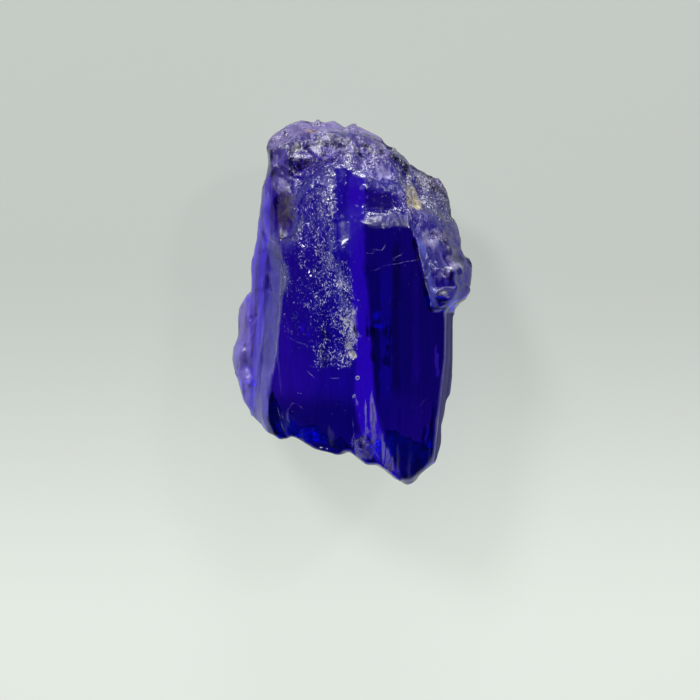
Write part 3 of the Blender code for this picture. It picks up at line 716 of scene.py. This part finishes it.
class Graph:
    """Short names for making and joining a material's nodes."""

    def __init__(self, tree):
        self.tree = tree

    def put(self, socket, value):
        if isinstance(value, bpy.types.NodeSocket):
            self.tree.links.new(value, socket)
        elif value is not None:
            socket.default_value = value

    def attribute(self, name, output="Fac"):
        made = self.tree.nodes.new("ShaderNodeAttribute")
        made.attribute_name = name
        return made.outputs[output]

    def math(self, operation, *values):
        made = self.tree.nodes.new("ShaderNodeMath")
        made.operation = operation
        for socket, value in zip(made.inputs, values):
            self.put(socket, value)
        return made.outputs[0]

    def vector(self, operation, *values):
        made = self.tree.nodes.new("ShaderNodeVectorMath")
        made.operation = operation
        for socket, value in zip(made.inputs, values):
            self.put(socket, value)
        return made.outputs["Value" if operation in ("DOT_PRODUCT", "LENGTH") else "Vector"]

    def place(self, stretch, swirl=0.0):
        """Object coordinates in millimetres, bent by up to swirl and then multiplied by stretch."""
        source = self.tree.nodes.new("ShaderNodeTexCoord").outputs["Object"]
        if swirl:
            bend = self.tree.nodes.new("ShaderNodeTexNoise")
            self.put(bend.inputs["Vector"], self.vector("MULTIPLY", source, (SWIRLS_PER_MM / MM,) * 3))
            bend.inputs["Scale"].default_value = 1.0
            aside = self.vector("SUBTRACT", bend.outputs["Color"], (0.5, 0.5, 0.5))
            source = self.vector("ADD", source, self.vector("MULTIPLY", aside, (2 * swirl * MM,) * 3))
        return self.vector("MULTIPLY", source, tuple(part / MM for part in stretch))

    def noise(self, stretch, detail, rough, swirl):
        """Noise of 0 to 1, with about stretch bumps per millimetre along X, Y and Z."""
        made = self.tree.nodes.new("ShaderNodeTexNoise")
        self.put(made.inputs["Vector"], self.place(stretch, swirl))
        made.inputs["Scale"].default_value = 1.0
        made.inputs["Detail"].default_value = detail
        made.inputs["Roughness"].default_value = rough
        return made.outputs["Fac"]

    def cells(self, stretch):
        """The cell pattern node, and the places that it reads."""
        made = self.tree.nodes.new("ShaderNodeTexVoronoi")
        place = self.place(stretch)
        self.put(made.inputs["Vector"], place)
        made.inputs["Scale"].default_value = 1.0
        return made, place

    def cell_shade(self, stretch):
        """One number of 0 to 1 for each cell."""
        split = self.tree.nodes.new("ShaderNodeSeparateColor")
        self.put(split.inputs[0], self.cells(stretch)[0].outputs["Color"])
        return split.outputs[0]

    def facets(self, stretch):
        """Height of small flat facets, each tilted its own way."""
        cells, place = self.cells(stretch)
        lean = self.vector("SUBTRACT", cells.outputs["Color"], (0.5, 0.5, 0.5))
        return self.vector("DOT_PRODUCT", self.vector("SUBTRACT", place, cells.outputs["Position"]), lean)

    def blend(self, share, first, second):
        """first where share is 0 and second where it is 1, for plain numbers."""
        rise = self.math("SUBTRACT", second, first)
        return self.math("MULTIPLY_ADD", share, rise, first)

    def remap(self, value, low, high, to_low=0.0, to_high=1.0):
        made = self.tree.nodes.new("ShaderNodeMapRange")
        made.interpolation_type = "SMOOTHSTEP"
        for socket, number in zip(made.inputs, (value, low, high, to_low, to_high)):
            self.put(socket, number)
        return made.outputs[0]

    def over(self, pattern, level, lower, by):
        """How far a pattern lies over a level that by lowers."""
        return self.math("SUBTRACT", pattern, self.math("MULTIPLY_ADD", by, -lower, level))

    def mix(self, share, first, second, blend="MIX"):
        made = self.tree.nodes.new("ShaderNodeMix")
        made.data_type = "RGBA"
        made.blend_type = blend
        self.put(made.inputs["Factor"], share)
        self.put(made.inputs[6], first)
        self.put(made.inputs[7], second)
        return made.outputs[2]

    def bump(self, height, distance, strength, normal=None):
        made = self.tree.nodes.new("ShaderNodeBump")
        self.put(made.inputs["Height"], height)
        self.put(made.inputs["Distance"], distance)
        self.put(made.inputs["Strength"], strength)
        if normal is not None:
            self.put(made.inputs["Normal"], normal)
        return made.outputs["Normal"]


def stone_colour(graph, pattern, tint, haze, rough, cover):
    """The clear stone's colour with the frost's colour over it, shaded by patterns; on the breaks this
    shading is painted light and shade of the relief.
    """
    streaks, strokes = pattern["streaks"], pattern["strokes"]
    cells = graph.math("ADD", graph.cell_shade(LARGE_CELLS), graph.cell_shade(SMALL_CELLS))
    tint_shade = graph.blend(
        rough, graph.remap(streaks, *TINT_BY_STREAKS), graph.remap(cells, *TINT_BY_CELLS))
    broken_shade = graph.math(
        "MULTIPLY", graph.remap(strokes, *HAZE_BY_STROKES), graph.remap(cells, *HAZE_BY_CELLS))
    haze_shade = graph.blend(rough, graph.remap(streaks, *HAZE_BY_STREAKS), broken_shade)
    clear_tint = graph.mix(1.0, tint, tint_shade, "MULTIPLY")
    haze_tint = graph.mix(1.0, haze, haze_shade, "MULTIPLY")
    return graph.mix(graph.math("MULTIPLY", cover, COVER_HIDES), clear_tint, haze_tint)


def white_and_glint_share(graph, pattern, grain, mark, near):
    """How white a point is, partly white frost and partly painted glints and highlights: dots, dashes and
    curls by the grain, and the marks.
    """
    gate, fleck = pattern["gate"], pattern["fleck"]
    dots = graph.remap(graph.over(pattern["speckle"], DOT_LEVEL, DOT_BY_GRAIN, grain), 0.0, DOT_SOFT)
    dashes = graph.over(pattern["glints"], DASH_LEVEL, DASH_BY_GRAIN, grain)
    dashes = graph.remap(graph.math("MULTIPLY_ADD", gate, DASH_BY_GATE, dashes), 0.0, DASH_SOFT)
    curls = graph.math("ABSOLUTE", graph.math("SUBTRACT", pattern["curl"], 0.5))
    curls = graph.math("SUBTRACT", 1.0, graph.remap(curls, *CURL_WIDTH))
    open_gate = graph.over(gate, CURL_LEVEL, CURL_BY_GRAIN, grain)
    curls = graph.math("MULTIPLY", curls, graph.remap(open_gate, 0.0, CURL_SOFT))
    lines = graph.math("MULTIPLY_ADD", fleck, LINE_FRAY, graph.math("ABSOLUTE", mark))
    lines = graph.math("SUBTRACT", 1.0, graph.remap(lines, *LINE_WIDTH))
    lines = graph.math("MULTIPLY", graph.math("MULTIPLY", lines, near), graph.remap(gate, *LINE_BY_GATE))
    lines = graph.math("MINIMUM", 1.0, graph.math("MULTIPLY", lines, graph.remap(fleck, *LINE_BY_FLECK)))
    dots, curls = graph.math("MULTIPLY", dots, DOT_STRENGTH), graph.math("MULTIPLY", curls, CURL_STRENGTH)
    return graph.math("MAXIMUM", graph.math("MAXIMUM", dots, curls), graph.math("MAXIMUM", lines, dashes))


def fine_normal(graph, pattern, rough):
    """The fine bumps: striations on the faces, small facets and grain on the breaks."""
    smooth = graph.math("MULTIPLY", graph.math("SUBTRACT", 1.0, rough), STREAK_BUMP_STRENGTH)
    lined = graph.bump(pattern["streaks"], STREAK_BUMP * MM, smooth)
    faceted = graph.bump(graph.facets(FACET_CELLS), FACET_BUMP * MM, rough, lined)
    return graph.bump(pattern["mottle"], MOTTLE_BUMP * MM, rough, faceted)


def tanzanite_material():
    material = bpy.data.materials.new("tanzanite")
    material.use_nodes = True
    tree = material.node_tree
    shader = tree.nodes["Principled BSDF"]
    graph = Graph(tree)
    tint, haze = graph.attribute("tint", "Vector"), graph.attribute("haze", "Vector")
    veil, grain = graph.attribute("veil"), graph.attribute("grain")
    rough, dull = graph.attribute("rough"), graph.attribute("dull")
    mark, near = graph.attribute("mark"), graph.attribute("near")
    pattern = {name: graph.noise(*shape) for name, shape in PATTERNS.items()}

    broken = graph.blend(STROKE_SHARE, pattern["mottle"], pattern["strokes"])
    frost = graph.blend(rough, pattern["streaks"], broken)
    cover = graph.remap(graph.over(frost, COVER_LEVEL, COVER_BY_VEIL, veil), -COVER_SOFT, COVER_SOFT)
    stone = stone_colour(graph, pattern, tint, haze, rough, cover)
    white = white_and_glint_share(graph, pattern, grain, mark, near)
    whitened = graph.mix(graph.math("MULTIPLY", white, WHITE_HIDES), stone, WHITE_AND_GLINT)
    graph.put(shader.inputs["Base Color"], whitened)

    blocked = graph.math(
        "MAXIMUM", graph.math("MULTIPLY", cover, COVER_BLOCKS), graph.math("MULTIPLY", white, WHITE_BLOCKS))
    graph.put(shader.inputs["Transmission Weight"], graph.math("SUBTRACT", 1.0, blocked))
    blurred = graph.math(
        "MAXIMUM", graph.math("MULTIPLY", rough, BROKEN_ROUGHNESS),
        graph.math("MULTIPLY", dull, DULL_ROUGHNESS))
    graph.put(shader.inputs["Roughness"], graph.math("ADD", blurred, LEAST_ROUGHNESS))
    graph.put(shader.inputs["Normal"], fine_normal(graph, pattern, rough))
    shader.inputs["IOR"].default_value = REFRACTION

    volume = tree.nodes.new("ShaderNodeVolumeAbsorption")
    density = max(ABSORPTION) * DENSITY_MARGIN
    volume.inputs["Density"].default_value = density
    volume.inputs["Color"].default_value = (*[1 - part / density for part in ABSORPTION], 1)
    tree.links.new(volume.outputs["Volume"], tree.nodes["Material Output"].inputs["Volume"])
    return material


def make_crystal(node):
    mesh = fine_surface(node)
    places, normals = places_and_normals(mesh)
    x, y = places[:, 0], places[:, 1]
    zone = zones(places, normals)
    paint = painted(places, zone)
    share = calm_share(x, y, normals[:, 2], zone["front"])
    moved = relieve(calmed(mesh, places, share), normals, paint.rough)
    for name, values in vars(paint).items():
        add_values(mesh, name, values)
    wiggle = MARK_WAVER * noise_at(places, "marks")
    away, strength = nearest_mark(x + wiggle, y - wiggle)
    add_values(mesh, "mark", away)
    add_values(mesh, "near", zone["front"] * strength * (1 - ramp(*MARK_END, np.abs(away))))
    moved = (moved + np.array([*MIDDLE, 0.0])) * MM
    mesh.vertices.foreach_set("co", moved.astype(np.float32).ravel())
    mesh.update()
    crystal = bpy.data.objects.new("tanzanite", mesh)
    bpy.context.scene.collection.objects.link(crystal)
    mesh.materials.append(tanzanite_material())
    mesh.polygons.foreach_set("use_smooth", [True] * len(mesh.polygons))
    return crystal


def make_floor():
    bpy.ops.mesh.primitive_plane_add(size=FLOOR_SIZE * MM, location=(0, 0, -FLOOR_GAP * MM))
    floor = bpy.context.object
    floor.name = "floor"
    material = bpy.data.materials.new("pale_floor")
    material.use_nodes = True
    shader = material.node_tree.nodes["Principled BSDF"]
    shader.inputs["Base Color"].default_value = FLOOR_COLOUR
    shader.inputs["Roughness"].default_value = FLOOR_ROUGHNESS
    shader.inputs["Specular IOR Level"].default_value = 0.0
    shader.inputs["Emission Color"].default_value = FLOOR_GLOW_COLOUR
    graph = Graph(material.node_tree)
    split = material.node_tree.nodes.new("ShaderNodeSeparateXYZ")
    graph.put(split.inputs[0], graph.place((1, 1, 1)))
    glow = graph.remap(split.outputs["Y"], *FLOOR_GLOW_PLACES, *FLOOR_GLOW)
    far = graph.remap(graph.vector("LENGTH", graph.place((1, 1, 1))), *FLOOR_FAR, 1.0, FLOOR_FAR_SHARE)
    graph.put(shader.inputs["Emission Strength"], graph.math("MULTIPLY", glow, far))
    floor.data.materials.append(material)


def make_lamp(name, place, size, power):
    """A soft box at a place in millimetres, turned towards the crystal."""
    light = bpy.data.lights.new(name, "AREA")
    light.shape = "RECTANGLE"
    light.size, light.size_y = size[0] * MM, size[1] * MM
    light.energy = power
    lamp = bpy.data.objects.new(name, light)
    lamp.location = Vector(place) * MM
    lamp.rotation_euler = (-lamp.location).to_track_quat("-Z", "Y").to_euler()
    bpy.context.scene.collection.objects.link(lamp)


def make_world():
    """A sky that is pale at the horizon and dim overhead."""
    world = bpy.data.worlds.new("studio")
    bpy.context.scene.world = world
    world.use_nodes = True
    nodes, links = world.node_tree.nodes, world.node_tree.links
    place = nodes.new("ShaderNodeTexCoord")
    split = nodes.new("ShaderNodeSeparateXYZ")
    sky = nodes.new("ShaderNodeValToRGB")
    links.new(place.outputs["Generated"], split.inputs[0])
    links.new(split.outputs["Z"], sky.inputs["Fac"])
    links.new(sky.outputs["Color"], nodes["Background"].inputs["Color"])
    for stop, (height, shade) in zip(sky.color_ramp.elements, SKY):
        stop.position, stop.color = height, shade


def make_camera():
    camera = bpy.data.cameras.new("camera")
    camera.sensor_width = SENSOR
    camera.lens = SENSOR * CAMERA_DISTANCE / FIELD_WIDTH
    camera.clip_start, camera.clip_end = (reach * MM for reach in CAMERA_REACH)
    seat = bpy.data.objects.new("camera", camera)
    x, y = (middle + centre for middle, centre in zip(MIDDLE, FIELD_CENTRE))
    seat.location = Vector((x, y, FIELD_HEIGHT + CAMERA_DISTANCE)) * MM
    bpy.context.scene.collection.objects.link(seat)
    bpy.context.scene.camera = seat


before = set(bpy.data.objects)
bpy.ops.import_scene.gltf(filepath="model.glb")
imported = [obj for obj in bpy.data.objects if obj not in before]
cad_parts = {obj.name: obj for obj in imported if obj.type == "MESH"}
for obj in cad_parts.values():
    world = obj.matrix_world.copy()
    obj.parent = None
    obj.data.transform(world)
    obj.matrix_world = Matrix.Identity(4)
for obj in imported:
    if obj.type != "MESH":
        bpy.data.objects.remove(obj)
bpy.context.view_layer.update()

make_camera()
make_floor()
make_world()
for lamp, (place, size, power) in LAMPS.items():
    make_lamp(lamp, place, size, power)
bpy.context.scene.view_settings.view_transform = "Standard"

crystal = make_crystal(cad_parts[NODE])
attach(crystal, "root")
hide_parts(NODE)
